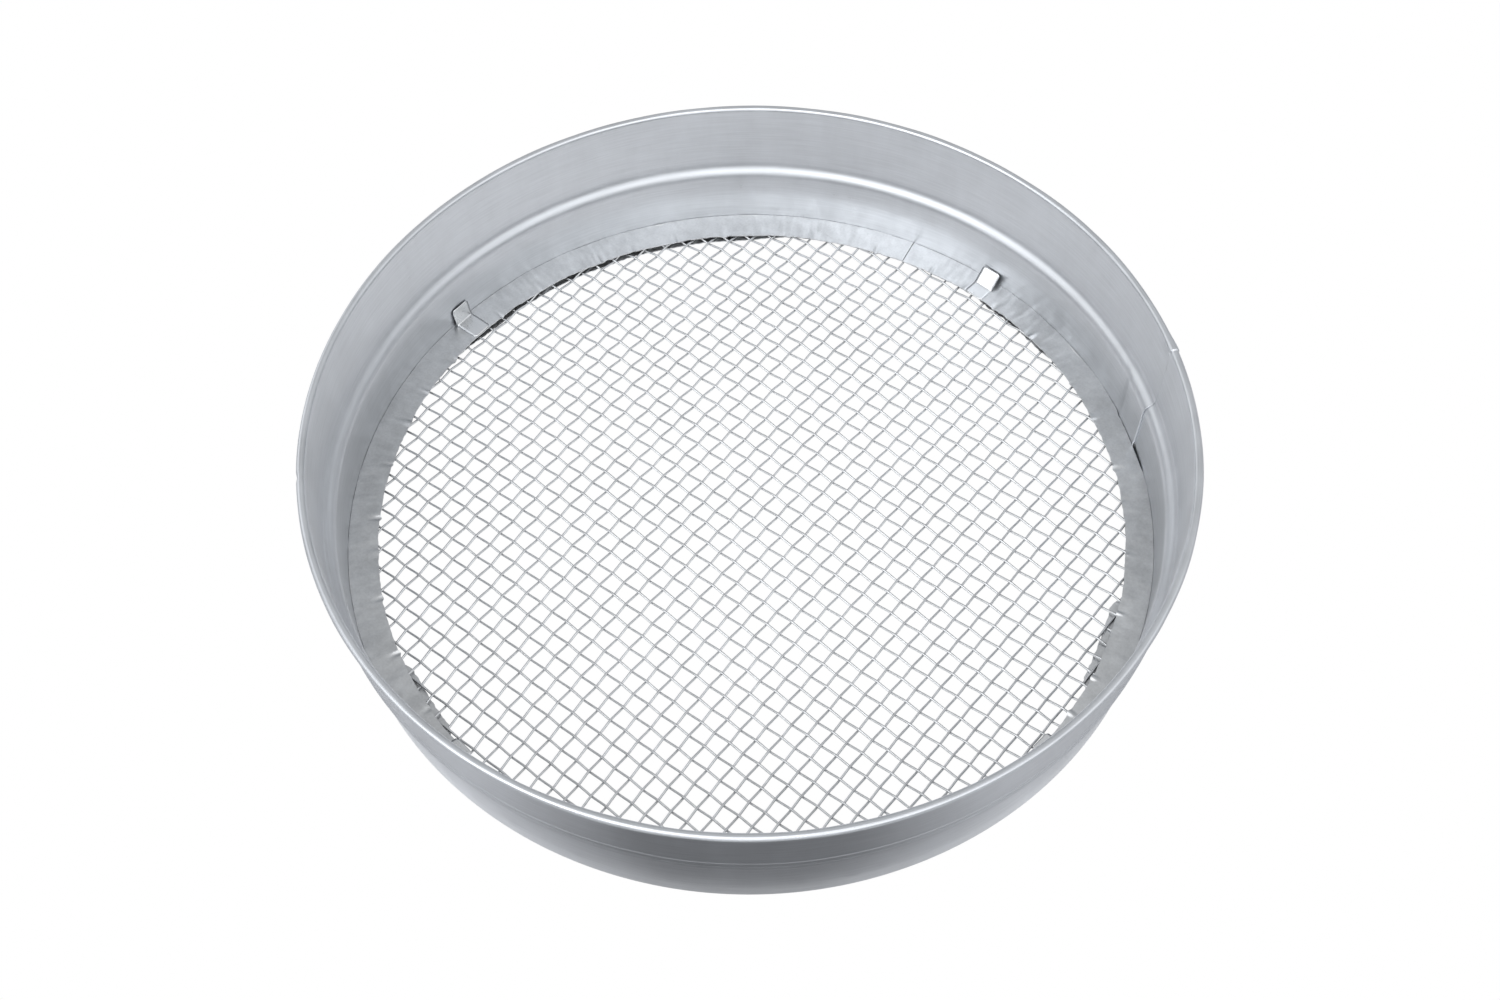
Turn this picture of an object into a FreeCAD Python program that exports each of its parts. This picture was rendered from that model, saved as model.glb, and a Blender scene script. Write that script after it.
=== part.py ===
import FreeCAD, Part
import math
import os

import Sketcher

# A round garden soil sieve: a rolled sheet-steel wall with a wired rim, and a
# drop-in screen, which is a plain-woven wire cloth bound in a folded strip with
# four spring tabs. Millimetres, +Z up. The origin is on the sieve's axis, in the
# plane that it stands on. X and Y run along the wires of the cloth.

DRIVING_DIMENSIONS = (
    # the rolled wall
    ("sheet", 0.6, "thickness of the wall's sheet"),
    ("rim_radius", 185.0, "outside of the curled rim"),
    ("overall_height", 72.0, "top of the curled rim"),
    ("curl_radius", 2.0, "outside radius of the curl's section"),
    ("curl_end_angle", 130.0, "how far below level the curl's free edge turns in"),
    ("lower_wall_radius", 177.0, "inside of the wall below its step"),
    ("step_top", 36.3, "height where the step starts, from above"),
    ("step_lean", 45.0, "how far the step leans in, from upright"),
    ("step_bend", 1.8, "inside radius of the step's two bends"),
    ("corner_bend", 3.4, "inside radius of the bottom corner"),
    ("flange_radius", 167.0, "inner edge of the bottom flange"),
    ("flange_foot_radius", 171.0, "where the flange leaves the ground"),
    ("flange_rise", 0.9, "how far the flange's inner edge is off the ground"),
    # the wall's lapped seam
    ("seam_angle", 50.0, "azimuth of the inner layer's free edge"),
    ("lap_angle", 6.0, "how far round the two layers overlap"),
    ("lap_bottom", 6.0, "where the inner layer is trimmed above the corner"),
    ("lap_top", 69.5, "where the inner layer runs into the curl"),
    # the wire in the rim
    ("rim_wire_radius", 1.35, "section radius of the rim wire"),
    ("rim_wire_butt_angle", 229.0, "azimuth of the gap between its ends"),
    ("rim_wire_gap_angle", 0.4, "how wide that gap is"),
    # the folded strip round the cloth
    ("screen_middle", 3.6, "height of the cloth's middle plane"),
    ("strip_sheet", 0.5, "thickness of the folded strip"),
    ("strip_gap", 2.6, "room for the cloth between its two legs"),
    ("strip_radius", 175.8, "outside of the fold"),
    ("strip_top_inner_radius", 163.0, "inner edge of the upper leg"),
    ("strip_under_inner_radius", 166.8, "inner edge of the lower leg"),
    ("strip_joint_angle", 102.0, "azimuth where the strip's ends meet"),
    ("strip_joint_gap_angle", 0.12, "gap between the strip's ends"),
    # the wire cloth
    ("wire_radius", 0.6, "half of the wire's diameter"),
    ("wire_pitch", 7.58, "from wire to wire, both ways"),
    ("wire_crimp", 0.64, "how far a wire swings off the middle plane"),
    ("cloth_radius", 172.8, "where the wires are cut off, inside the strip"),
    ("warp_shift", 0.5, "offset of the warp from the axis, in pitches"),
    ("weft_shift", -0.331, "offset of the weft from the axis, in pitches"),
    ("wire_pairs", 22, "pairs of wires each way"),
    # the spring tabs
    ("tab_sheet", 0.6, "thickness of a tab"),
    ("tab_width", 10.0, "width of a tab"),
    ("tab_inner_radius", 163.3, "inner end of the leg that lies on the strip"),
    ("tab_upright", 9.0, "length of the leg that leans on the wall"),
    ("tab_bend", 0.5, "inside radius of a tab's bend"),
)

# The tabs are bent and fixed by hand, so each sits and leans a little differently:
# azimuth, radius of the bend, and lean of the upright leg, outwards from vertical.
TABS = (
    ("screen_tab_1", 88.0, 170.5, 40.0),
    ("screen_tab_2", 180.5, 174.0, 15.0),
    ("screen_tab_3", 264.0, 172.6, 24.0),
    ("screen_tab_4", 355.0, 172.6, 24.0),
)

document = FreeCAD.newDocument("soil_sieve")
sheet = document.addObject("Spreadsheet::Sheet", "Dimensions")


def fill_sheet():
    """One row of the sheet for each driving dimension, then three for each tab."""
    rows = list(DRIVING_DIMENSIONS)
    for name, azimuth, bend_radius, lean in TABS:
        rows.append((name + "_azimuth", azimuth, "azimuth of the tab"))
        rows.append((name + "_bend_radius", bend_radius, "where the tab bends up"))
        rows.append((name + "_lean", lean, "outward lean of its upright leg"))
    for row, (alias, value, meaning) in enumerate(rows, start=1):
        sheet.set("A%d" % row, alias)
        sheet.set("B%d" % row, str(value))
        sheet.set("C%d" % row, meaning)
        sheet.setAlias("B%d" % row, alias)
    document.recompute()


def expression(formula):
    """A formula in the sheet's aliases, with each alias made a reference to its cell."""
    text = ""
    word = ""
    for letter in str(formula) + " ":
        if letter.isalnum() or letter == "_":
            word += letter
            continue
        is_alias = word[:1].isalpha() and sheet.getCellFromAlias(word)
        text += ("Dimensions." if is_alias else "") + word + letter
        word = ""
    return text.strip()


def value(formula):
    """The number that a formula in the sheet's aliases gives now."""
    return float(sheet.evalExpression(expression(formula)))


def new_body(name):
    body = document.addObject("PartDesign::Body", name)
    body.Label = name
    return body


def origin_feature(body, role):
    return [item for item in body.Origin.OriginFeatures if item.Role == role][0]


def section_sketch(body, name):
    """A sketch on the body's own XZ plane: x is the radius, y is the height."""
    sketch = body.newObject("Sketcher::SketchObject", name)
    sketch.AttachmentSupport = [(origin_feature(body, "XZ_Plane"), "")]
    sketch.MapMode = "FlatFace"
    return sketch


def constrain(sketch, formula, *constraint):
    """A dimension in a sketch, held by a formula in the sheet's aliases."""
    number = sketch.addConstraint(Sketcher.Constraint(*constraint))
    sketch.setExpression("Constraints[%d]" % number, expression(formula))


def pin(sketch, edge, end, place):
    """Holds one end, or the centre, of a sketched edge at a place."""
    for kind, formula in zip(("DistanceX", "DistanceY"), place):
        constrain(sketch, formula, kind, -1, 1, edge, end, value(formula))


def draw_outline(sketch, corners):
    """A closed outline of straight edges through corners, each two formulas."""
    places = [FreeCAD.Vector(value(across), value(up), 0) for across, up in corners]
    followers = places[1:] + places[:1]
    for place, follower in zip(places, followers):
        sketch.addGeometry(Part.LineSegment(place, follower), False)
    for index, corner in enumerate(corners):
        previous = (index - 1) % len(corners)
        sketch.addConstraint(Sketcher.Constraint("Coincident", previous, 2, index, 1))
        pin(sketch, index, 1, corner)


def draw_ring_sector(sketch, centre, radii, angles):
    """Part of a flat ring: inner and outer radius, first and last angle in degrees."""
    middle = FreeCAD.Vector(value(centre[0]), value(centre[1]), 0)
    first, last = [math.radians(value(angle)) for angle in angles]
    arcs = []
    for radius in radii:
        circle = Part.Circle(middle, FreeCAD.Vector(0, 0, 1), value(radius))
        arcs.append(Part.ArcOfCircle(circle, first, last))
    sketch.addGeometry(arcs, False)
    sketch.addGeometry(Part.LineSegment(arcs[0].StartPoint, arcs[1].StartPoint), False)
    sketch.addGeometry(Part.LineSegment(arcs[0].EndPoint, arcs[1].EndPoint), False)
    pin(sketch, 0, 3, centre)
    sketch.addConstraint(Sketcher.Constraint("Coincident", 0, 3, 1, 3))
    for arc, radius in enumerate(radii):
        constrain(sketch, radius, "Radius", arc, value(radius))
    for line, arc_end, angle in ((2, 1, angles[0]), (3, 2, angles[1])):
        sketch.addConstraint(Sketcher.Constraint("Coincident", 0, arc_end, line, 1))
        sketch.addConstraint(Sketcher.Constraint("Coincident", 1, arc_end, line, 2))
        sketch.addConstraint(Sketcher.Constraint("PointOnObject", 0, 3, line))
        constrain(sketch, angle, "Angle", line, math.radians(value(angle)))


def revolve(body, sketch, name, degrees="360"):
    """Turns a section round the body's Z axis."""
    turned = body.newObject("PartDesign::Revolution", name)
    turned.Profile = sketch
    turned.ReferenceAxis = (origin_feature(body, "Z_Axis"), [""])
    turned.setExpression("Angle", expression(degrees))
    body.Tip = turned
    document.recompute()


def fillet(body, name, radius, chosen):
    """Rounds the edges of the body so far that the function chosen picks."""
    base = body.Tip
    names = []
    for number, edge in enumerate(base.Shape.Edges, start=1):
        if chosen(edge):
            names.append("Edge%d" % number)
    rounded = body.newObject("PartDesign::Fillet", name)
    rounded.Base = (base, names)
    rounded.setExpression("Radius", expression(radius))
    body.Tip = rounded
    document.recompute()


def runs_round(*corners):
    """Picks the full circles that section corners make when they are turned."""
    wanted = [(value(across), value(up)) for across, up in corners]

    def chosen(edge):
        if not isinstance(edge.Curve, Part.Circle):
            return False
        found = (edge.Curve.Radius, edge.Curve.Center.z)
        return any(math.dist(found, place) < 0.01 for place in wanted)

    return chosen


def runs_across(corner):
    """Picks the straight edge that a section corner makes when it is padded."""
    wanted = (value(corner[0]), value(corner[1]))

    def chosen(edge):
        ends = [(vertex.X, vertex.Z) for vertex in edge.Vertexes]
        return all(math.dist(wanted, end) < 0.01 for end in ends)

    return chosen


def stand_at(body, azimuth):
    """Turns a sub-part about the sieve's axis to its azimuth."""
    body.Placement.Rotation = FreeCAD.Rotation(FreeCAD.Vector(0, 0, 1), value(azimuth))
    body.setExpression("Placement.Rotation.Angle", expression(azimuth))


def wall_shell():
    """The rolled wall: curled rim, upper wall, step, lower wall, corner, flange, seam."""
    upper = "rim_radius - 2 * curl_radius"
    lower = "lower_wall_radius"
    curl_level = "overall_height - curl_radius"
    step_bottom = "step_top - (%s - %s) / tan(step_lean)" % (upper, lower)
    bend_shift = "sheet * tan(step_lean / 2)"

    body = new_body("wall_shell")
    inside = (
        (upper, curl_level),
        (upper, "step_top"),
        (lower, step_bottom),
        (lower, "sheet"),
        ("flange_foot_radius", "sheet"),
        ("flange_radius", "flange_rise + sheet"),
    )
    outside = (
        ("flange_radius", "flange_rise"),
        ("flange_foot_radius", "0"),
        (lower + " + sheet", "0"),
        (lower + " + sheet", step_bottom + " - " + bend_shift),
        (upper + " + sheet", "step_top - " + bend_shift),
        (upper + " + sheet", curl_level),
    )
    section = section_sketch(body, "wall_section")
    draw_outline(section, inside + outside)
    revolve(body, section, "rolled_wall")
    fillet(body, "tight_bends", "step_bend", runs_round(inside[1], outside[3]))
    fillet(body, "wide_bends", "step_bend + sheet", runs_round(inside[2], outside[4]))
    fillet(body, "corner_inside", "corner_bend", runs_round(inside[3]))
    fillet(body, "corner_outside", "corner_bend + sheet", runs_round(outside[2]))

    curl = section_sketch(body, "curl_section")
    centre = ("rim_radius - curl_radius", curl_level)
    radii = ("curl_radius - sheet", "curl_radius")
    draw_ring_sector(curl, centre, radii, ("-curl_end_angle", "180"))
    revolve(body, curl, "curled_rim")

    inner_layer = (
        (upper + " + sheet / 2", "lap_top"),
        (upper + " - sheet", "lap_top"),
        (upper + " - sheet", "step_top + " + bend_shift),
        (lower + " - sheet", step_bottom + " + " + bend_shift),
        (lower + " - sheet", "lap_bottom"),
        (lower + " + sheet / 2", "lap_bottom"),
        (lower + " + sheet / 2", step_bottom),
        (upper + " + sheet / 2", "step_top"),
    )
    lap = section_sketch(body, "lap_section")
    draw_outline(lap, inner_layer)
    revolve(body, lap, "lapped_seam", "lap_angle")
    stand_at(body, "seam_angle")
    return body


def rim_wire():
    """The wire that the rim is curled round, with its two ends butted."""
    body = new_body("rim_wire")
    centre = ("rim_radius - curl_radius", "overall_height - curl_radius")
    middle = FreeCAD.Vector(value(centre[0]), value(centre[1]), 0)
    radius = "rim_wire_radius"
    section = section_sketch(body, "rim_wire_section")
    section.addGeometry(Part.Circle(middle, FreeCAD.Vector(0, 0, 1), value(radius)), False)
    pin(section, 0, 3, centre)
    constrain(section, radius, "Radius", 0, value(radius))
    revolve(body, section, "bent_wire", "360 - rim_wire_gap_angle")
    stand_at(body, "rim_wire_butt_angle")
    return body


def screen_rim():
    """The strip folded over the edge of the cloth, open towards the axis."""
    inner = "strip_gap / 2"
    outer = "strip_gap / 2 + strip_sheet"
    fold_centre = "strip_radius - (%s)" % outer
    turned = "360 - strip_joint_gap_angle"
    body = new_body("screen_rim")
    fold = section_sketch(body, "fold_section")
    draw_ring_sector(fold, (fold_centre, "screen_middle"), (inner, outer), ("-90", "90"))
    revolve(body, fold, "fold", turned)
    legs = (
        ("upper_leg", "strip_top_inner_radius", "screen_middle + " + inner),
        ("lower_leg", "strip_under_inner_radius", "screen_middle - (%s)" % outer),
    )
    for name, inner_edge, level in legs:
        corners = (
            (inner_edge, level),
            (fold_centre, level),
            (fold_centre, level + " + strip_sheet"),
            (inner_edge, level + " + strip_sheet"),
        )
        section = section_sketch(body, name + "_section")
        draw_outline(section, corners)
        revolve(body, section, name, turned)
    stand_at(body, "strip_joint_angle")
    return body


def screen_tab(name):
    """A bent tab: one leg lies on the strip, the other leans out to the wall."""
    bend = name + "_bend_radius"
    lean = name + "_lean"
    seat = "screen_middle + strip_gap / 2 + strip_sheet"
    tip_radius = "%s + tab_upright * sin(%s)" % (bend, lean)
    tip_height = "%s + tab_upright * cos(%s)" % (seat, lean)
    corners = (
        ("tab_inner_radius", seat),
        (bend, seat),
        (tip_radius, tip_height),
        (
            "%s - tab_sheet * cos(%s)" % (tip_radius, lean),
            "%s + tab_sheet * sin(%s)" % (tip_height, lean),
        ),
        ("%s - tab_sheet * tan(45 - %s / 2)" % (bend, lean), seat + " + tab_sheet"),
        ("tab_inner_radius", seat + " + tab_sheet"),
    )
    body = new_body(name)
    section = section_sketch(body, name + "_section")
    draw_outline(section, corners)
    pad = body.newObject("PartDesign::Pad", name + "_strip")
    pad.Profile = section
    pad.Midplane = True
    pad.setExpression("Length", expression("tab_width"))
    body.Tip = pad
    document.recompute()
    fillet(body, name + "_bend_outside", "tab_bend + tab_sheet", runs_across(corners[1]))
    fillet(body, name + "_bend_inside", "tab_bend", runs_across(corners[4]))
    stand_at(body, name + "_azimuth")
    return body


def paired_wires(shift):
    """One set's wires as (index, offset from the axis), in pairs from the middle out."""
    pitch = value("wire_pitch")
    pairs = int(value("wire_pairs"))
    wires = [(index, (index + shift) * pitch) for index in range(-pairs - 1, pairs + 2)]
    wires.sort(key=lambda wire: (round(abs(wire[1]), 6), wire[1]))
    return [wires[2 * pair:2 * pair + 2] for pair in range(pairs)]


def crimped_wire(wire, cross_shift, along, across, sense):
    """One wire of the plain weave, straight between the crossings and bent at each."""
    index, offset = wire
    pitch = value("wire_pitch")
    crimp = value("wire_crimp")
    reach = math.sqrt(value("cloth_radius") ** 2 - offset ** 2)

    def swing(distance):
        """Height of the wire off the middle plane, a straight run at a time."""
        crossing = distance / pitch - cross_shift
        share = crossing - math.floor(crossing)
        side = 1 if (math.floor(crossing) + index) % 2 else -1
        return sense * side * crimp * (1 - 2 * share)

    first = math.ceil(-reach / pitch - cross_shift)
    last = math.floor(reach / pitch - cross_shift)
    stops = [(crossing + cross_shift) * pitch for crossing in range(first, last + 1)]
    line = []
    for distance in [-reach] + stops + [reach]:
        height = FreeCAD.Vector(0, 0, swing(distance))
        line.append(along * distance + across * offset + height)
    path = Part.makePolygon(line)
    section = Part.Wire([Part.makeCircle(value("wire_radius"), line[0], line[1] - line[0])])
    mitred = 1
    return path.makePipeShell([section], True, False, mitred)


def wire_cloth():
    """Both sets of wires, two at the same distance from the axis to a sub-part."""
    along_x = FreeCAD.Vector(1, 0, 0)
    along_y = FreeCAD.Vector(0, 1, 0)
    warp_shift = value("warp_shift")
    weft_shift = value("weft_shift")
    sets = (
        ("warp_wires", warp_shift, weft_shift, along_y, along_x, 1),
        ("weft_wires", weft_shift, warp_shift, along_x, along_y, -1),
    )
    items = []
    for name, shift, cross_shift, along, across, sense in sets:
        for number, pair in enumerate(paired_wires(shift), start=1):
            solids = [crimped_wire(wire, cross_shift, along, across, sense) for wire in pair]
            item = document.addObject("Part::Feature", "%s_%02d" % (name, number))
            item.Label = item.Name
            item.Shape = Part.makeCompound(solids)
            item.Placement.Base = FreeCAD.Vector(0, 0, value("screen_middle"))
            items.append(item)
    return items


def check_and_write(items):
    """Stops on anything failed or invalid, then writes a file for each sub-part."""
    document.recompute()
    for item in document.Objects:
        if "Invalid" in item.State or "Error" in item.State:
            raise RuntimeError("failed: " + item.Label)
    for item in items:
        if item.Shape.isNull() or not item.Shape.isValid():
            raise RuntimeError("no valid shape: " + item.Label)
    os.makedirs("parts", exist_ok=True)
    for item in items:
        item.Shape.exportStep("parts/%s.step" % item.Label)


fill_sheet()
sub_parts = [wall_shell(), rim_wire(), screen_rim()]
for tab in TABS:
    sub_parts.append(screen_tab(tab[0]))
sub_parts.extend(wire_cloth())
check_and_write(sub_parts)
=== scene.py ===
"""Soil sieve: rolled steel wall, wired rim and a drop-in screen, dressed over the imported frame."""

import math
import random

import bpy
import numpy as np
from mathutils import Matrix, Vector, noise


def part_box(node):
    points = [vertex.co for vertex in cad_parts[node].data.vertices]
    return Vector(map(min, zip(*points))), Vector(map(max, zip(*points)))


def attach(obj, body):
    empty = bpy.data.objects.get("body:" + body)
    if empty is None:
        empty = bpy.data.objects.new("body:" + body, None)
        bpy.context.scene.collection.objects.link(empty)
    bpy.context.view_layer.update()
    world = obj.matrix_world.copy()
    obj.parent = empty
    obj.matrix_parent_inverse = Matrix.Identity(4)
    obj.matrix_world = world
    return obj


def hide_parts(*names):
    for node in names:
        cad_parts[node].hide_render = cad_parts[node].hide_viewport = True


MM = 0.001

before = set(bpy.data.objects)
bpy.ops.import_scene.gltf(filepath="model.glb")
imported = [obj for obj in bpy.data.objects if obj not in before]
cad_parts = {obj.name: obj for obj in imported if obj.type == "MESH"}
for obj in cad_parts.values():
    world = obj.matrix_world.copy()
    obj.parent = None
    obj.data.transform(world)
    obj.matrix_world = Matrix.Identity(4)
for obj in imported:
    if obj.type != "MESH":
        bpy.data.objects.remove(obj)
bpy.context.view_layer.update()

# Lengths are in metres where nothing else is said. The outer ones come from the frame.
WALL_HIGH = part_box("wall_shell")[1]
STRIP_LOW, STRIP_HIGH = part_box("screen_rim")
WIRE_LOW, WIRE_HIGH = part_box("warp_wires_01")

# The wall sheet, by its inner face: flange, corner, lower wall, step, upper wall and curl.
RIM_RADIUS = round(WALL_HIGH.x, 3)
WALL_HEIGHT = round(WALL_HIGH.z, 3)
SHEET = 0.6 * MM
CURL_RADIUS = 2.0 * MM
CURL_END = math.radians(130)
CURL_FOOT = 68.8 * MM
UPPER_RADIUS = RIM_RADIUS - 2 * CURL_RADIUS
LOWER_RADIUS = 177.0 * MM
STEP_MIDDLE = 33.9 * MM
STEP_LEAN = math.radians(48)
STEP_BEND = 5.2 * MM
CORNER_BEND = 2.2 * MM
FLANGE_RADIUS = 167.0 * MM
FLANGE_FOOT = 171.0 * MM
FLANGE_RISE = 0.9 * MM
FLANGE_BEND = 6 * MM
MARKED_BELOW = 49 * MM

# Its seam. The sheet starts at SEAM as the lap's inner layer and comes round to end behind itself.
# The inner layer stands in by LAP_LEFT where the lap is pressed flush, and by LAP_STEP more
# where it is open.
SEAM = math.radians(50)
SEAM_GAP = math.radians(0.01)
LAP_DEGREES = 5.4
LAP_LEFT = 0.04 * MM
LAP_STEP = SHEET + 0.03 * MM - LAP_LEFT

# Sides where the step is dullest: azimuth in degrees, and the cosines between which it grows so.
DULL_SIDES = ((225, 0.6, 0.95), (12, 0.80, 0.96))

# The strip folded over the cloth's edge. Its lower leg is cut back over four stretches:
# middle and width in degrees, depth in millimetres.
STRIP_RADIUS = STRIP_HIGH.x + 0.5 * MM
STRIP_CORNER = 0.1 * MM
STRIP_SHEET = 0.5 * MM
STRIP_MIDDLE = (STRIP_LOW.z + STRIP_HIGH.z) / 2
STRIP_HALF = (STRIP_HIGH.z - STRIP_LOW.z) / 2
STRIP_TOP_EDGE = 164.2 * MM
STRIP_UNDER_EDGE = 166.8 * MM
STRIP_JOINT = math.radians(102)
STRIP_COLUMNS = 2400
CUT_BACK = ((155, 30, 4.2), (79, 8, 2.2), (15, 8, 5.0), (254, 7, 5.0))

# The tabs: number, azimuth, radius of the bend in millimetres, lean outward from upright, twist.
# Angles are in degrees.
TAB_PLACES = (
    (1, 88, 170.9, 40, 2),
    (2, 180.5, 175.2, 9, -1),
    (3, 264, 172.6, 24, 2),
    (4, 355, 172.6, 24, -2),
)
TAB_WIDTH = 10 * MM
TAB_LEG = 9 * MM
TAB_SHEET = 0.3 * MM
TAB_BEND = 0.9 * MM
TAB_CORNER = 1.3 * MM
TAB_INNER_END = 163.3 * MM

# The wire cloth. The shifts say how far the two sets lie off the axis, in pitches.
CAD_WIRE = 1.2 * MM
WIRE_RADIUS = 0.53 * MM
WIRE_MIDDLE = (WIRE_LOW.z + WIRE_HIGH.z) / 2
WIRE_CRIMP = 0.62 * MM
CRIMP_SHARP = 0.93
WIRE_PITCH = WIRE_HIGH.x - WIRE_LOW.x - CAD_WIRE
WIRE_PAIRS = 22
WIRE_SIDES = 8
STEPS_TO_PITCH = 8
WARP_SHIFT = 0.5
WEFT_SHIFT = -0.331
CLOTH_RADIUS = 172.4 * MM


# ---------------------------------------------------------------- geometry helpers


def smooth_step(share):
    """0 below 0, 1 above 1 and a smooth rise between."""
    share = np.clip(share, 0.0, 1.0)
    return share * share * (3 - 2 * share)


def peak(values, middle, width):
    """1 at the middle, falling to 0 on both sides like a bell."""
    return np.exp(-((values - middle) / width) ** 2)


def trace(start, heading, moves):
    """Walks a section: each move is (length, None, pieces) for a line or (radius, turn, pieces)
    for an arc.

    Gives the points and, at each, the normal to the left of the way walked.
    """
    place = np.array(start, float)
    points = [place.copy()]
    headings = [heading]
    for size, turn, pieces in moves:
        if turn is None:
            for step in range(pieces):
                place = place + size / pieces * np.array([math.cos(heading), math.sin(heading)])
                points.append(place.copy())
                headings.append(heading)
            continue
        side = math.copysign(1, turn)
        centre = place + side * size * np.array([-math.sin(heading), math.cos(heading)])
        for step in range(1, pieces + 1):
            now = heading + turn * step / pieces
            points.append(centre + side * size * np.array([math.sin(now), -math.cos(now)]))
            headings.append(now)
        heading += turn
        place = points[-1]
    headings = np.array(headings)
    return np.array(points), np.stack([-np.sin(headings), np.cos(headings)], axis=1)


def skin(name, points, faces, material, sharp=None):
    """A mesh in the scene, shaded smooth but for edges past the sharp angle, if one is given."""
    mesh = bpy.data.meshes.new(name)
    mesh.from_pydata(points, [], faces)
    mesh.update()
    mesh.materials.append(material)
    if sharp is not None:
        mesh.shade_smooth()
        mesh.set_sharp_from_angle(angle=sharp)
    item = bpy.data.objects.new(name, mesh)
    bpy.context.scene.collection.objects.link(item)
    return item


def loft(name, loops, material, sharp=math.radians(38)):
    """A mesh skinned over a row of loops, capped at both ends."""
    loops = np.asarray(loops, float)
    count, size = loops.shape[:2]
    faces = []
    for column in range(count - 1):
        here = column * size
        there = here + size
        for index in range(size):
            after = (index + 1) % size
            faces.append((here + index, here + after, there + after, there + index))
    faces.extend(cap(0, size, True))
    faces.extend(cap((count - 1) * size, size, False))
    return skin(name, loops.reshape(-1, 3).tolist(), faces, material, sharp)


def cap(first, size, flip):
    """Quads across the end of a loop, between its two halves."""
    faces = []
    for index in range(size // 2 - 1):
        near = first + index
        far = first + size - 1 - index
        quad = (near, near + 1, far - 1, far)
        faces.append(quad[::-1] if flip else quad)
    return faces


def displaced(points, normals, azimuths, shift):
    """Section points carried round the axis, moved along their normals by shift[column, point]."""
    radii = points[None, :, 0] + normals[None, :, 0] * shift
    heights = points[None, :, 1] + normals[None, :, 1] * shift
    turned = azimuths[:, None]
    return np.stack([radii * np.cos(turned), radii * np.sin(turned), heights], axis=2)


def folded_sheet(points, normals, azimuths, shift, thickness, relief=0.0):
    """Loops of a bent sheet: its near face, then its far face walked back."""
    near = displaced(points, normals, azimuths, shift)
    far = displaced(points, normals, azimuths, shift - thickness - relief)
    return np.concatenate([near, far[:, ::-1]], axis=1)


def pushed_out(loops, push):
    """Loops of a folded sheet moved away from the axis, both faces of each point alike."""
    push = np.concatenate([push, push[:, ::-1]], axis=1)
    radii = np.linalg.norm(loops[:, :, :2], axis=2)
    loops[:, :, :2] *= ((radii + push) / radii)[:, :, None]
    return loops


def ripple(azimuths, heights, around, upward, seed):
    """Smooth noise from -1 to 1 over a round sheet, without a seam."""
    field = np.empty((len(azimuths), len(heights)))
    for row, azimuth in enumerate(azimuths):
        for column, height in enumerate(heights):
            spot = (math.cos(azimuth) * around, math.sin(azimuth) * around, height * upward + seed)
            field[row, column] = noise.noise(Vector(spot))
    return field


def placed(item, body, material_slot, *nodes):
    """Ties a visible piece to its body and hides the frame's nodes it stands for."""
    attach(item, body)
    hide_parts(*nodes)


# ---------------------------------------------------------------- materials


class Tree:
    """Short calls for building a node tree."""

    def __init__(self, tree):
        self.tree = tree
        self.tree.nodes.clear()

    def node(self, kind, inputs=None, **settings):
        item = self.tree.nodes.new(kind)
        for key, setting in settings.items():
            setattr(item, key, setting)
        for key, source in (inputs or {}).items():
            if isinstance(source, bpy.types.NodeSocket):
                self.tree.links.new(source, item.inputs[key])
            else:
                item.inputs[key].default_value = source
        return item

    def math(self, operation, first, second):
        return self.node("ShaderNodeMath", {0: first, 1: second}, operation=operation).outputs[0]

    def plus(self, base, part, weight):
        """The base and a weighed part, added up."""
        return self.math("ADD", base, self.math("MULTIPLY", part, weight))

    def vector(self, operation, *vectors):
        """A vector made from one or two others."""
        inputs = dict(enumerate(vectors))
        return self.node("ShaderNodeVectorMath", inputs, operation=operation).outputs[0]

    def measure(self, operation, *vectors):
        """A number taken from one or two vectors: a length, a distance or a dot product."""
        inputs = dict(enumerate(vectors))
        return self.node("ShaderNodeVectorMath", inputs, operation=operation).outputs["Value"]

    def noise(self, vector, stretch, detail, rough):
        """Noise from 0 to 1, its scale set apart for each direction by the stretch."""
        inputs = {
            "Vector": self.vector("MULTIPLY", vector, stretch),
            "Scale": 1.0,
            "Detail": detail,
            "Roughness": rough,
        }
        return self.node("ShaderNodeTexNoise", inputs).outputs["Fac"]

    def spread(self, source, low, high, into_low, into_high, **settings):
        """The source's range from low to high, mapped to another range and held within it."""
        inputs = {
            "Value": source,
            "From Min": low,
            "From Max": high,
            "To Min": into_low,
            "To Max": into_high,
        }
        return self.node("ShaderNodeMapRange", inputs, **settings).outputs["Result"]

    def blend(self, share, first, second):
        """A mix of two colours. The node's colour sockets are its inputs 6 and 7 and output 2."""
        inputs = {0: share, 6: first, 7: second}
        return self.node("ShaderNodeMix", inputs, data_type="RGBA").outputs[2]

    def place(self):
        return self.node("ShaderNodeTexCoord").outputs["Object"]

    def height(self, vector):
        return self.node("ShaderNodeSeparateXYZ", {0: vector}).outputs["Z"]

    def wrapped(self):
        """Object coordinates as (cosine, sine, height), so that noise runs round the axis."""
        place = self.place()
        around = self.vector("NORMALIZE", self.vector("MULTIPLY", place, (1, 1, 0)))
        return self.vector("ADD", around, self.vector("MULTIPLY", place, (0, 0, 1)))


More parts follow.
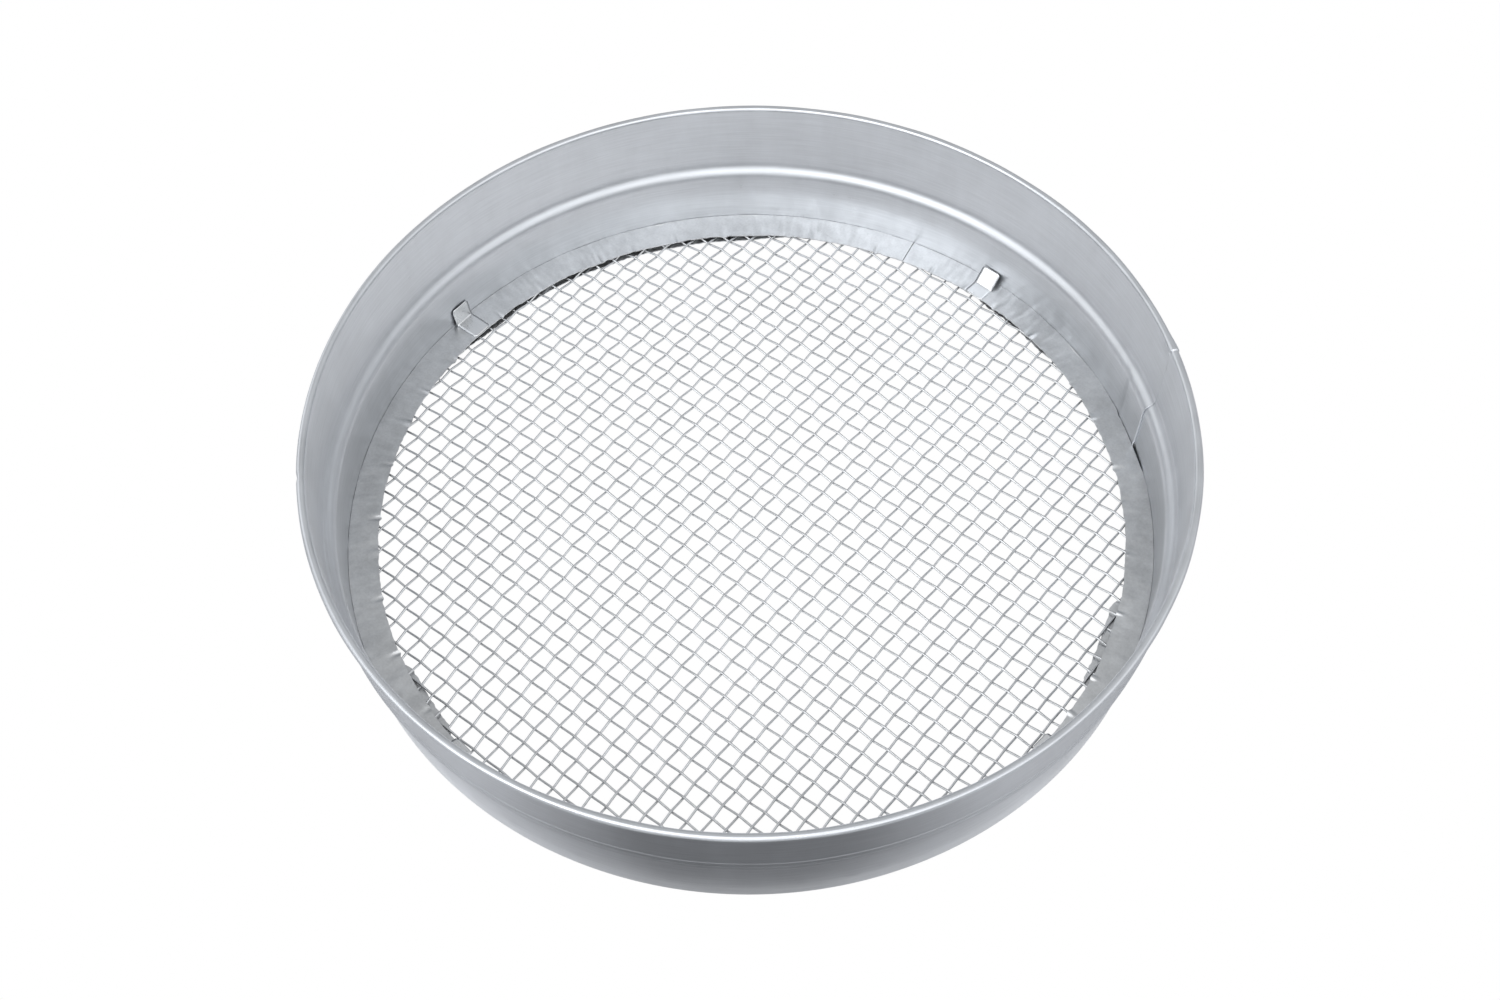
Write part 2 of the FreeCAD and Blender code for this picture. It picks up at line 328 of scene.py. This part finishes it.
def duller_where_drawn(tree, rough, wrapped, height):
    """Roughness raised round the curl and over the step, most of all on the two dull sides."""
    curl_gain, step_gain, side_gain = 1.15, 0.16, 2.2
    curled = tree.spread(height, 68.2 * MM, 69.2 * MM, 1.0, curl_gain)
    past_foot = tree.spread(height, 29.0 * MM, 32.5 * MM, 0.0, step_gain)
    past_head = tree.spread(height, 36.5 * MM, 40.0 * MM, 0.0, step_gain)
    drawn = tree.math("SUBTRACT", past_foot, past_head)
    for azimuth, edge, middle in DULL_SIDES:
        side = (math.cos(math.radians(azimuth)), math.sin(math.radians(azimuth)), 0)
        facing = tree.measure("DOT_PRODUCT", wrapped, side)
        drawn = tree.math("MULTIPLY", drawn, tree.spread(facing, edge, middle, 1.0, side_gain))
    return tree.math("ADD", tree.math("MULTIPLY", rough, curled), drawn)


def steel(name, tone, roughness, bump, variation, rolled=False):
    """Bare steel with a fine grain, cloudy patches and light scratches.

    The grain of a rolled sheet runs round the axis. Such a sheet is also duller where it is
    drawn over the step and round the curl.
    """
    material = bpy.data.materials.new(name)
    material.use_nodes = True
    tree = Tree(material.node_tree)
    place = tree.place()
    if rolled:
        wrapped = tree.wrapped()
        lines = tree.noise(wrapped, (5, 5, 2600), 4.0, 0.6)
        broad = tree.noise(wrapped, (3, 3, 330), 2.0, 0.5)
        streaks = tree.noise(wrapped, (9, 9, 1100), 2.0, 0.5)
        clouds = tree.noise(wrapped, (11, 11, 16), 4.0, 0.6)
    else:
        lines = tree.noise(place, (900, 900, 900), 3.0, 0.6)
        broad = streaks = tree.noise(place, (160, 160, 160), 3.0, 0.6)
        clouds = tree.noise(place, (45, 45, 45), 4.0, 0.6)
    marks = tree.noise(place, (60, 1400, 300), 2.0, 0.5)
    scratch = tree.spread(marks, 0.70, 0.74, 0.0, 1.0)

    shade = tree.plus(tree.math("MULTIPLY", lines, 0.25), clouds, 0.40)
    shade = tree.plus(shade, streaks, 0.35)
    dark = tuple(channel * (1 - variation) for channel in tone) + (1,)
    pale = tuple(min(1, channel * (1 + variation)) for channel in tone) + (1,)
    colour = tree.blend(tree.spread(shade, 0.36, 0.64, 0.0, 1.0), dark, pale)

    cloudy = tree.plus(clouds, lines, 0.6)
    rough = tree.spread(cloudy, 0.5, 1.1, roughness - 0.06, roughness + 0.07)
    rough = tree.plus(rough, scratch, 0.08)
    relief = tree.plus(tree.plus(broad, lines, 0.6), scratch, -0.35)
    inputs = {"Base Color": colour, "Metallic": 1.0}
    if rolled:
        height = tree.height(place)
        rough = duller_where_drawn(tree, rough, wrapped, height)
        flattened = tree.spread(height, 67.5 * MM, 69.0 * MM, 1.0, 0.2)
        relief = tree.math("MULTIPLY", relief, flattened)
        tangent = tree.node("ShaderNodeTangent", direction_type="RADIAL", axis="Z")
        inputs.update({"Anisotropic": 0.5, "Tangent": tangent.outputs[0]})
    raised = {"Strength": bump, "Distance": 0.2 * MM, "Height": relief}
    normal = tree.node("ShaderNodeBump", raised).outputs[0]
    inputs.update({"Roughness": rough, "Normal": normal})
    surface = tree.node("ShaderNodeBsdfPrincipled", inputs).outputs[0]
    tree.node("ShaderNodeOutputMaterial", {"Surface": surface})
    return material


wall_steel = steel("rolled_sheet_steel", (0.605, 0.622, 0.648), 0.33, 0.1, 0.08, rolled=True)
strip_steel = steel("folded_strip_steel", (0.62, 0.63, 0.64), 0.38, 0.25, 0.16)
tab_steel = steel("tab_strip_steel", (0.68, 0.69, 0.70), 0.30, 0.06, 0.05)
cloth_steel = steel("drawn_cloth_wire", (0.60, 0.608, 0.62), 0.36, 0.12, 0.12)
rod_steel = steel("rim_rod_steel", (0.50, 0.50, 0.51), 0.42, 0.3, 0.15)


# ---------------------------------------------------------------- the wall


def wall_section():
    """The sheet's inner face, from the flange's edge up the wall and over the curl."""
    slope = math.atan2(FLANGE_RISE, FLANGE_FOOT - FLANGE_RADIUS)
    flange = math.hypot(FLANGE_RISE, FLANGE_FOOT - FLANGE_RADIUS)
    foot_cut = FLANGE_BEND * math.tan(slope / 2)
    wide_bend = STEP_BEND + SHEET
    bends_out = (STEP_BEND + wide_bend) * (1 - math.cos(STEP_LEAN))
    ledge = (UPPER_RADIUS - LOWER_RADIUS - bends_out) / math.sin(STEP_LEAN)
    step_height = (STEP_BEND + wide_bend) * math.sin(STEP_LEAN) + ledge * math.cos(STEP_LEAN)
    step_foot = STEP_MIDDLE - step_height / 2
    step_head = STEP_MIDDLE + step_height / 2
    moves = (
        (flange - foot_cut, None, 4),
        (FLANGE_BEND, slope, 2),
        (LOWER_RADIUS - CORNER_BEND - FLANGE_FOOT - foot_cut, None, 1),
        (CORNER_BEND, math.pi / 2, 7),
        (step_foot - CORNER_BEND - SHEET, None, 12),
        (wide_bend, -STEP_LEAN, 9),
        (ledge, None, 1),
        (STEP_BEND, STEP_LEAN, 9),
        (MARKED_BELOW - step_head, None, 60),
        (WALL_HEIGHT - CURL_RADIUS - MARKED_BELOW, None, 9),
        (CURL_RADIUS, -math.pi - CURL_END, 34),
    )
    return trace((FLANGE_RADIUS, FLANGE_RISE + SHEET), -slope, moves)


def wall_azimuths():
    """Columns of the wall sheet, from its inner free edge once round, closer near the seam."""
    edge_end, near_end = math.radians(0.4), math.radians(10)
    edge = np.linspace(0, edge_end, 25)
    near = np.linspace(edge_end, near_end, 60)[1:]
    far = np.linspace(near_end, 2 * math.pi - SEAM_GAP, 420)[1:]
    return SEAM + np.concatenate([edge, near, far])


def roller_marks(heights):
    """Two fine ridges left on the sheet's outer face just above the step."""
    width = 0.4 * MM
    first = peak(heights, 43.2 * MM, width)
    second = peak(heights, 39.8 * MM, width)
    return (0.27 * first + 0.22 * second) * MM


def wall_ripple(azimuths, heights):
    """How far the sheet is shifted towards the axis: slow waves about a place a little further
    out, and soft bulges outward low on the wall."""
    waves = ripple(azimuths, heights, 7, 9, 3.1) * 0.16
    waves = waves + ripple(azimuths, heights, 22, 14, 8.7) * 0.03
    bulges = np.maximum(ripple(azimuths, np.zeros(1), 26, 0, 6.3), 0.0)
    low = peak(heights, 10 * MM, 5.5 * MM)
    return (waves - 0.21 - 0.5 * bulges * low[None, :]) * MM


def lap_opening(heights):
    """1 where the lap's inner layer stands clear of the wall, 0 where it is pressed flush."""
    return 1 - smooth_step((heights - 30 * MM) / (9 * MM))


def build_wall():
    """The wall sheet, and the outer layer of its lap as a second mesh."""
    points, normals = wall_section()
    azimuths = wall_azimuths()
    turned = azimuths - SEAM
    rising = points[:, 1]
    outside = points[:, 0] > UPPER_RADIUS + 1 * MM
    layered = smooth_step((rising - 2.0 * MM) / (2.4 * MM))
    layered = layered * (1 - smooth_step((rising - CURL_FOOT) / (1 * MM)))
    layered[outside] = 0
    on_wall = smooth_step((rising - 5 * MM) / (6 * MM))
    curled = ((rising > CURL_FOOT) | outside).astype(float)
    open_lap = lap_opening(rising)

    # The inner layer of the lap, joggled back to the wall at its end.
    joggle_degrees = 1.5 + 4.5 * (1 - open_lap)[None, :]
    in_lap = 1 - smooth_step((np.degrees(turned)[:, None] - LAP_DEGREES) / joggle_degrees)
    shift = wall_ripple(azimuths, rising) * on_wall[None, :]
    shift += in_lap * (LAP_LEFT + LAP_STEP * open_lap)[None, :] * layered[None, :]

    # A raised free edge, sharper at its foot.
    burr = peak(turned, math.radians(0.10), math.radians(0.07))
    sharp_foot = 1 + 1.2 * peak(rising, 6 * MM, 1.2 * MM)
    shift += burr[:, None] * (0.20 * open_lap * sharp_foot * layered)[None, :] * MM

    # The curl: a ridge at the seam, and a notch over the joint of the rim wire.
    ridge = smooth_step(turned / math.radians(0.25)) * (1 - smooth_step(turned / math.radians(4)))
    notch = peak(turned, math.radians(178), math.radians(0.35))
    shift += (ridge * 0.50 - notch * 0.45)[:, None] * curled[None, :] * MM

    marks = (roller_marks(rising) * ~outside)[None, :]
    loops = folded_sheet(points, normals, azimuths, shift, SHEET, marks)
    sheet = loft("wall_sheet", loops, wall_steel)

    lapped = (rising > 4.8 * MM) & (rising < 67.2 * MM) & ~outside
    band = points[lapped]
    flap_azimuths = SEAM + np.linspace(-SEAM_GAP, math.radians(5.3), 28)
    flap_shift = wall_ripple(flap_azimuths, band[:, 1])
    flap_marks = roller_marks(band[:, 1])[None, :]
    loops = folded_sheet(band, normals[lapped], flap_azimuths, flap_shift, SHEET, flap_marks)
    behind = LAP_STEP * (1 - open_lap[lapped])
    push = np.ones((len(flap_azimuths), 1)) * behind[None, :]
    flap = loft("wall_sheet_overlap", pushed_out(loops, push), wall_steel)
    for item in (sheet, flap):
        placed(item, "wall", "wall_sheet", "wall_shell")


# ---------------------------------------------------------------- the screen


def pleat_places():
    """Where the strip's inner edge is pinched, at uneven steps round the screen.

    Each pleat is (azimuth, depth, width in degrees, 1 for up or -1 for down).
    """
    chance = random.Random(41)
    places = []
    here = STRIP_JOINT + math.radians(5)
    while here < STRIP_JOINT + 2 * math.pi - math.radians(4):
        depth = chance.uniform(0.5, 1.0)
        width = chance.uniform(0.3, 0.6)
        places.append((here, depth, width, chance.choice((-1, 1, 1))))
        here += math.radians(chance.uniform(5.5, 12.5))
    return places


def stretch(azimuths, middle, width):
    """1 over a stretch round the axis, fading to 0 past its ends; middle and width in degrees."""
    off = np.degrees(np.angle(np.exp(1j * (azimuths - math.radians(middle)))))
    return 1 - smooth_step((np.abs(off) - width * 0.75) / (width * 0.5))


def build_strip():
    """The strip folded over the cloth's edge, pinched along its top and cut unevenly below."""
    straight = STRIP_RADIUS - STRIP_CORNER
    moves = (
        (straight - STRIP_TOP_EDGE, None, 11),
        (STRIP_CORNER, -math.pi / 2, 6),
        (2 * (STRIP_HALF - STRIP_CORNER), None, 2),
        (STRIP_CORNER, -math.pi / 2, 6),
        (straight - STRIP_UNDER_EDGE, None, 7),
    )
    points, normals = trace((STRIP_TOP_EDGE, STRIP_MIDDLE + STRIP_HALF), 0, moves)
    half_gap = math.radians(0.06)
    first, last = STRIP_JOINT + half_gap, STRIP_JOINT + 2 * math.pi - half_gap
    azimuths = np.linspace(first, last, STRIP_COLUMNS)
    radii = points[:, 0]
    upper = (points[:, 1] > STRIP_MIDDLE + STRIP_HALF - STRIP_CORNER).astype(float)
    lower = (points[:, 1] < STRIP_MIDDLE - STRIP_HALF + STRIP_CORNER).astype(float)

    # Up and down: pleats and a ragged edge, over a gently uneven top.
    pinch = np.zeros(len(azimuths))
    tongue = np.zeros(len(azimuths))
    for place, depth, width, side in pleat_places():
        near = peak(azimuths, place, math.radians(width))
        beside = peak(azimuths, place, math.radians(width * 3))
        pinch += side * depth * near - 0.35 * side * depth * beside
        tongue += depth * near
    wander = ripple(azimuths, np.zeros(1), 9, 0, 5.0)[:, 0]
    ragged = ripple(azimuths, np.zeros(1), 60, 0, 2.0)[:, 0]
    inward = smooth_step((170.5 * MM - radii) / (6.5 * MM))
    shift = (pinch * 1.0 + ragged * 0.12)[:, None] * inward[None, :] * upper[None, :] * MM
    shift += ripple(azimuths, radii, 14, 60, 1.0) * 0.34 * MM * upper[None, :]
    shift += ripple(azimuths, radii, 70, 120, 4.0) * 0.16 * MM * upper[None, :]
    loops = folded_sheet(points, normals, azimuths, shift, STRIP_SHEET)

    # In and out: both inner edges wander, and the fold reaches to the wall except at the lap.
    off_centre = 1.3 * np.cos(azimuths + math.radians(27.5))
    top_reach = (off_centre + wander * 0.5 + ragged * 0.3 - tongue * 0.6) * MM
    bared = sum(depth * stretch(azimuths, middle, width) for middle, width, depth in CUT_BACK)
    under_reach = (-bared + wander * 0.5 + ragged * 0.6) * MM
    degrees = np.degrees(np.mod(azimuths, 2 * math.pi))
    at_lap = smooth_step((degrees - 43) / 6.5) * (1 - smooth_step((degrees - 55.6) / 1.5))
    rim_reach = 0.65 * MM * (1 - at_lap)
    top_pull = smooth_step((171 * MM - radii) / (6.5 * MM)) * upper
    under_pull = smooth_step((172.5 * MM - radii) / (5.5 * MM)) * lower
    rim_pull = smooth_step((radii - 171 * MM) / (5 * MM))
    pull = top_reach[:, None] * top_pull[None, :] + under_reach[:, None] * under_pull[None, :]
    pull += rim_reach[:, None] * rim_pull[None, :]
    strip = loft("folded_strip", pushed_out(loops, pull), strip_steel)
    placed(strip, "screen", "strip_sheet", "screen_rim")


def build_tab(number, azimuth, bend_radius, lean, twist):
    """A bent tab with rounded corners, lying on the strip and leaning out to the wall."""
    chance = random.Random(number)
    azimuth, lean, twist = math.radians(azimuth), math.radians(lean), math.radians(twist)
    turn = math.pi / 2 - lean
    cut = TAB_BEND * math.tan(turn / 2)
    moves = (
        (bend_radius * MM - TAB_INNER_END - cut, None, 12),
        (TAB_BEND, turn, 6),
        (TAB_LEG - cut, None, 12),
    )
    points, normals = trace((TAB_INNER_END, STRIP_HIGH.z + TAB_SHEET), 0, moves)
    along = np.concatenate([[0], np.cumsum(np.linalg.norm(np.diff(points, axis=0), axis=1))])
    ends = np.minimum(along, along[-1] - along)
    short = np.clip(TAB_CORNER - ends, 0, TAB_CORNER)
    rounded = np.sqrt(np.maximum(TAB_CORNER ** 2 - short ** 2, 0))
    half = TAB_WIDTH / 2 - TAB_CORNER + rounded - 0.05 * MM
    half = half + np.array([chance.uniform(-0.06, 0.06) for step in along]) * MM

    shares = np.linspace(-1, 1, 9)
    loops = []
    for step in range(len(points)):
        rows = []
        for drop, order in ((0.0, shares), (TAB_SHEET, shares[::-1])):
            bowed = 0.12 * MM * (1 - order ** 2) * min(1, step / 14)
            radial = points[step, 0] + normals[step, 0] * (bowed - drop)
            height = points[step, 1] + normals[step, 1] * (bowed - drop)
            side = order * half[step] + math.tan(twist) * (points[step, 0] - TAB_INNER_END)
            rows.append(np.stack([
                radial * math.cos(azimuth) + side * math.sin(azimuth),
                radial * math.sin(azimuth) - side * math.cos(azimuth),
                height,
            ], axis=1))
        loops.append(np.concatenate(rows))
    tab = loft("bent_tab_%d" % number, loops, tab_steel, sharp=math.pi)
    placed(tab, "screen", "tab_steel", "screen_tab_%d" % number)


def cloth_drift(x, y):
    """How far the stretching has drawn the cloth out of true: up to 2 mm near the ring."""
    x, y = x / (100 * MM), y / (100 * MM)
    square = x * x + y * y
    bow_x = 0.8 * x * (1 - x * x) + 0.8 * x * y + y * y + 0.3 * x * x - 0.5 * y * y * (x + y)
    bow_y = -1.2 * x * (1 - 0.5 * x * x) - 0.9 * x * y - 0.4 * square - 0.4 * y * square
    return np.stack([bow_x, bow_y], axis=1) * MM


def build_wire_pair(node, along, across, wires, cross_shift, sense):
    """Two crimped wires of the plain weave, next to each other in distance from the axis."""
    around = np.linspace(0, 2 * math.pi, WIRE_SIDES, endpoint=False)
    points = []
    faces = []
    for index, offset in wires:
        reach = math.sqrt(CLOTH_RADIUS ** 2 - offset ** 2)
        count = int(2 * reach / WIRE_PITCH * STEPS_TO_PITCH)
        distance = np.linspace(-reach, reach, count + 1)
        phase = math.pi * (distance / WIRE_PITCH - cross_shift + index)
        wave = CRIMP_SHARP * np.cos(phase)
        swing = -sense * WIRE_CRIMP / math.asin(CRIMP_SHARP)
        height = swing * np.arcsin(wave)
        steepness = math.pi / WIRE_PITCH
        slope = -swing * CRIMP_SHARP * np.sin(phase) / np.sqrt(1 - wave ** 2) * steepness
        lean = np.arctan(slope)
        sway = 0.05 * MM * np.sin(distance * 37 + offset * 900)
        centre = np.outer(distance, along) + np.outer(offset + sway, across)
        centre[:, :2] += cloth_drift(centre[:, 0], centre[:, 1])
        centre[:, 2] += WIRE_MIDDLE + height
        upright = np.outer(-np.sin(lean), along) + np.outer(np.cos(lean), (0, 0, 1))
        ring = (centre[:, None, :]
                + WIRE_RADIUS * np.cos(around)[None, :, None] * np.asarray(across)[None, None, :]
                + WIRE_RADIUS * np.sin(around)[None, :, None] * upright[:, None, :])
        base = len(points)
        points.extend(ring.reshape(-1, 3).tolist())
        for step in range(count):
            here = base + step * WIRE_SIDES
            there = here + WIRE_SIDES
            for side in range(WIRE_SIDES):
                after = (side + 1) % WIRE_SIDES
                faces.append((here + side, here + after, there + after, there + side))
        last = base + count * WIRE_SIDES
        faces.append(tuple(base + side for side in reversed(range(WIRE_SIDES))))
        faces.append(tuple(last + side for side in range(WIRE_SIDES)))
    item = skin(node + "_crimped", points, faces, cloth_steel, sharp=math.radians(60))
    placed(item, "screen", "cloth_wire", node)


def build_cloth():
    """Both sets of wires, two to a node, counted from the middle of the cloth outward."""
    sets = (
        ("warp_wires", WARP_SHIFT, WEFT_SHIFT, (0, 1, 0), (1, 0, 0), 1),
        ("weft_wires", WEFT_SHIFT, WARP_SHIFT, (1, 0, 0), (0, 1, 0), -1),
    )
    numbers = range(-WIRE_PAIRS - 1, WIRE_PAIRS + 2)
    for name, shift, cross_shift, along, across, sense in sets:
        wires = [(index, (index + shift) * WIRE_PITCH) for index in numbers]
        wires.sort(key=lambda wire: (round(abs(wire[1]), 6), wire[1]))
        for pair in range(WIRE_PAIRS):
            node = "%s_%02d" % (name, pair + 1)
            both = wires[2 * pair:2 * pair + 2]
            build_wire_pair(node, along, across, both, cross_shift, sense)


build_wall()
build_strip()
build_cloth()
for tab_place in TAB_PLACES:
    build_tab(*tab_place)
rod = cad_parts["rim_wire"]
rod.data.materials.clear()
rod.data.materials.append(rod_steel)

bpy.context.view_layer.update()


# ---------------------------------------------------------------- floor, light and camera

LOOK_AT = Vector((-3.62, 4.22, 3.6)) * MM
CAMERA_DISTANCE = 762.5 * MM
CAMERA_ELEVATION = 55.93  # degrees
CAMERA_AZIMUTH = math.radians(309.9)
CAMERA_ROLL = math.radians(0.85)
LENS, SENSOR = 41.06, 36  # millimetres

# The panel of light under the sieve: its level, and the distances from the axis between which it
# fades out. It is dimmed at three places: azimuth as toward() takes it, distance from the axis,
# radii between which the dimming ends, and the share of light left in the middle.
GLOW = 0.56
GLOW_EDGE = (0.170, 0.188)
GLOW_DIMMED = (
    (82, 0.138, 0.02, 0.07, 0.62),
    (176, 0.150, 0.015, 0.05, 0.82),
    (41, 0.150, 0.02, 0.06, 0.80),
)

# The studio round it: its level at the horizon and overhead, and round cards of light. Each is
# azimuth and elevation as toward() takes them, radius and softness in degrees, and strength,
# which is less than 0 where the card takes light away.
ROOM_LOW, ROOM_HIGH = 0.62, 0.54
CARDS = (
    (226, 48, 15, 10, 2.9),
    (297, 46, 15, 10, 1.5),
    (268, 25, 10, 8, 1.5),
    (204, 26, 15, 9, 1.5),
    (145, 15, 12, 8, 1.0),
    (152, 44, 18, 10, 0.45),
    (72, 53, 18, 10, 0.26),
    (128, 61, 8, 7, -0.15),
    (350, 38, 22, 12, 0.70),
    (318, 30, 10, 8, 0.5),
)


def toward(seen_azimuth, elevation, distance):
    """A place round the sieve, by angles in degrees.

    Azimuths count from the camera's right, 90 being straight ahead of it.
    """
    azimuth = CAMERA_AZIMUTH + math.radians(90 + seen_azimuth)
    rise = math.radians(elevation)
    flat = distance * math.cos(rise)
    return Vector((flat * math.cos(azimuth), flat * math.sin(azimuth), distance * math.sin(rise)))


def white_to_camera(tree, surface, kind):
    """The surface as it lights the scene, but plain white where the camera looks straight at it."""
    path = tree.node("ShaderNodeLightPath").outputs["Is Camera Ray"]
    white = tree.node(kind, {"Color": (1, 1, 1, 1), "Strength": 1.0}).outputs[0]
    return tree.node("ShaderNodeMixShader", {0: path, 1: surface, 2: white}).outputs[0]


def floor_paper():
    """Pale paper over the panel of light, with a painted shadow: a dark patch on the camera's side
    of the sieve, where the sieve would shade the paper.
    """
    material = bpy.data.materials.new("pale_floor")
    material.use_nodes = True
    tree = Tree(material.node_tree)
    place = tree.place()
    grain = tree.noise(place, (40, 40, 40), 4.0, 0.55)
    plain = tree.blend(grain, (0.54, 0.54, 0.55, 1), (0.62, 0.62, 0.63, 1))
    # Painted shadow: the paper's colour darkens round a spot on the camera's side of the sieve,
    # standing in for the shade the sieve casts there.
    reach = tree.measure("DISTANCE", place, tuple(toward(268, 0, 0.235)))
    clear_of_painted_shadow = tree.spread(reach, 0.06, 0.15, 0.0, 1.0)
    colour = tree.blend(clear_of_painted_shadow, (0.16, 0.16, 0.165, 1), plain)
    glow = tree.spread(tree.measure("LENGTH", place), *GLOW_EDGE, GLOW, 0.0)
    for seen_azimuth, radius, inner, outer, share in GLOW_DIMMED:
        reach = tree.measure("DISTANCE", place, tuple(toward(seen_azimuth, 0, radius)))
        glow = tree.math("MULTIPLY", glow, tree.spread(reach, inner, outer, share, 1.0))
    paper = tree.node("ShaderNodeBsdfPrincipled", {
        "Base Color": colour,
        "Roughness": 0.7,
        "Emission Color": (1, 1, 1, 1),
        "Emission Strength": glow,
    })
    surface = white_to_camera(tree, paper.outputs[0], "ShaderNodeEmission")
    tree.node("ShaderNodeOutputMaterial", {"Surface": surface})
    return material


def build_floor():
    half = 3.0
    corners = [(-half, -half, 0), (half, -half, 0), (half, half, 0), (-half, half, 0)]
    floor = skin("floor", corners, [(0, 1, 2, 3)], floor_paper())
    floor.location.z = -0.02 * MM


def lit_patch(tree, direction, seen_azimuth, elevation, radius, softness):
    """1 inside a round patch of the sky, fading to 0 past its edge; angles in degrees."""
    centre = tuple(toward(seen_azimuth, elevation, 1.0))
    facing = tree.measure("DOT_PRODUCT", direction, centre)
    outer = math.cos(math.radians(radius + softness))
    inner = math.cos(math.radians(radius - softness))
    return tree.spread(facing, outer, inner, 0.0, 1.0, interpolation_type="SMOOTHSTEP")


def build_world():
    """A pale studio: an even room, nine soft cards of light and one that dims."""
    world = bpy.data.worlds.new("studio")
    world.use_nodes = True
    tree = Tree(world.node_tree)
    direction = tree.node("ShaderNodeTexCoord").outputs["Generated"]
    level = tree.spread(tree.height(direction), 0.0, 0.7, ROOM_LOW, ROOM_HIGH)
    for *card, strength in CARDS:
        level = tree.plus(level, lit_patch(tree, direction, *card), strength)
    light = {"Color": (0.97, 0.985, 1.0, 1), "Strength": level}
    room = tree.node("ShaderNodeBackground", light).outputs[0]
    surface = white_to_camera(tree, room, "ShaderNodeBackground")
    tree.node("ShaderNodeOutputWorld", {"Surface": surface})
    bpy.context.scene.world = world


def build_light():
    """A square soft box high up, a little to the camera's side of the sieve."""
    light = bpy.data.lights.new("top_box", "AREA")
    light.shape = "RECTANGLE"
    light.size = light.size_y = 0.6
    light.energy = 2.6
    lamp = bpy.data.objects.new("top_box", light)
    lamp.location = toward(262, 72, 1.6)
    lamp.rotation_euler = lamp.location.to_track_quat("Z", "Y").to_euler()
    bpy.context.scene.collection.objects.link(lamp)


def build_camera():
    camera = bpy.data.cameras.new("camera")
    camera.sensor_width = SENSOR
    camera.lens = LENS
    camera.dof.use_dof = False
    rig = bpy.data.objects.new("camera", camera)
    away = toward(-90, CAMERA_ELEVATION, CAMERA_DISTANCE)
    aim = away.to_track_quat("Z", "Y").to_matrix() @ Matrix.Rotation(-CAMERA_ROLL, 3, "Z")
    rig.matrix_world = Matrix.Translation(LOOK_AT + away) @ aim.to_4x4()
    bpy.context.scene.collection.objects.link(rig)
    bpy.context.scene.camera = rig


build_floor()
build_world()
build_light()
build_camera()
bpy.context.scene.view_settings.view_transform = "Standard"
